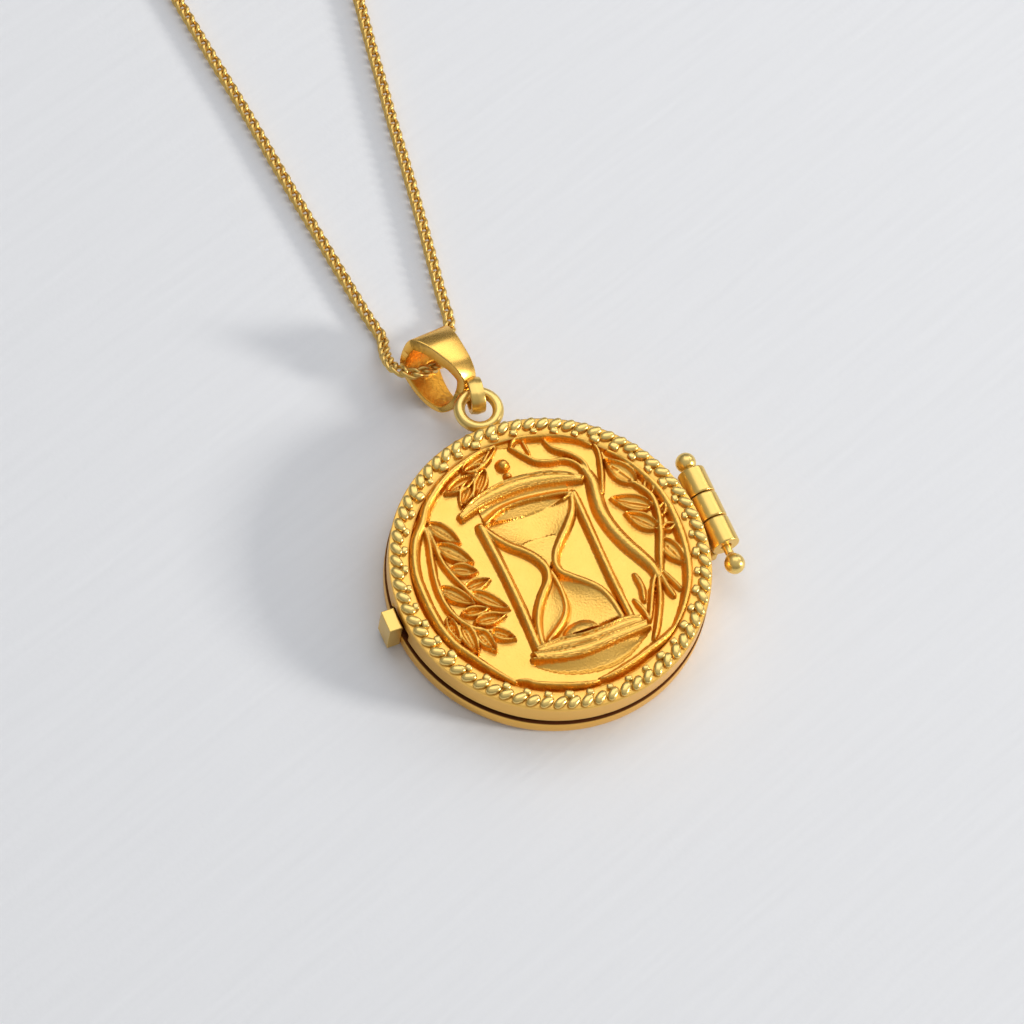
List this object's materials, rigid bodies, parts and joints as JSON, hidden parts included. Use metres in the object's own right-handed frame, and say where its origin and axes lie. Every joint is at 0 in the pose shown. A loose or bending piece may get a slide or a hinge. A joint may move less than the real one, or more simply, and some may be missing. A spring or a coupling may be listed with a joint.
{
  "type": "locket necklace",
  "caption": "Hinged round photo locket with a relief cover, a snap catch and a tapered bail, on a fine curb chain with a hook clasp.",
  "frame": {"origin": "centre of the locket's flat back, which the locket lies on", "axes": "+X from the centre of the locket to its hinge, +Y to its bail and chain, +Z out of the relief cover"},
  "size_m": [0.0252, 0.0896, 0.0048],
  "materials": {
    "satin_gold": "satin, gold plated",
    "polished_gold": "polished, gold plated",
    "chain_gold": "polished, gold plated",
    "spring_steel": "bare spring strip",
    "clear_acetate": "clear film"
  },
  "bodies": {
    "locket_back": {"back_shell": "satin_gold", "hinge_barrel_upper": "satin_gold", "hinge_barrel_lower": "satin_gold", "catch_block": "satin_gold", "pendant_loop": "polished_gold", "photo_ring_back": "satin_gold", "photo_window_back": "clear_acetate", "chain_left_run": "chain_gold", "chain_right_run": "chain_gold", "chain_coil": "chain_gold", "chain_clasp_end": "chain_gold", "chain_ring_end": "chain_gold", "clasp_body": "polished_gold", "clasp_pin": "polished_gold", "clasp_jump_ring": "polished_gold", "chain_end_ring": "polished_gold", "clasp_spring": "spring_steel"},
    "cover": {"front_cover": "satin_gold", "rope_border": "polished_gold", "bead_border": "polished_gold", "hinge_barrel_cover": "satin_gold", "photo_ring_front": "satin_gold", "photo_window_front": "clear_acetate"},
    "pin": {"hinge_pin": "polished_gold", "pin_ball_upper": "polished_gold", "pin_ball_lower": "polished_gold"},
    "bail": {"bail": "satin_gold", "bail_eye": "satin_gold", "chain_in_bail": "chain_gold"},
    "lever": {"clasp_lever": "polished_gold"}
  },
  "joints": [
    {"name": "cover_hinge", "type": "hinge", "parent": "locket_back", "child": "cover", "pos_m": [0.0121, 0, 0.0025], "axis": [0, 1, 0], "range_deg": [0, 160]},
    {"name": "pin_slide", "type": "slide", "parent": "locket_back", "child": "pin", "axis": [0, 1, 0], "range_m": [0, 0.0007]},
    {"name": "bail_swing", "type": "hinge", "parent": "locket_back", "child": "bail", "pos_m": [0.00053, 0.01423, 0.0024], "axis": [0.9848, -0.1736, 0], "range_deg": [0, 100], "deforming": ["chain_in_bail"]},
    {"name": "clasp_lever_press", "type": "hinge", "parent": "locket_back", "child": "lever", "pos_m": [0.0089, 0.07595, 0.0009], "axis": [0, 0, -1], "range_deg": [0, 25], "stiffness_Nm_per_rad": 0.0004, "springref_deg": -5.73, "deforming": ["clasp_spring"]}
  ]
}
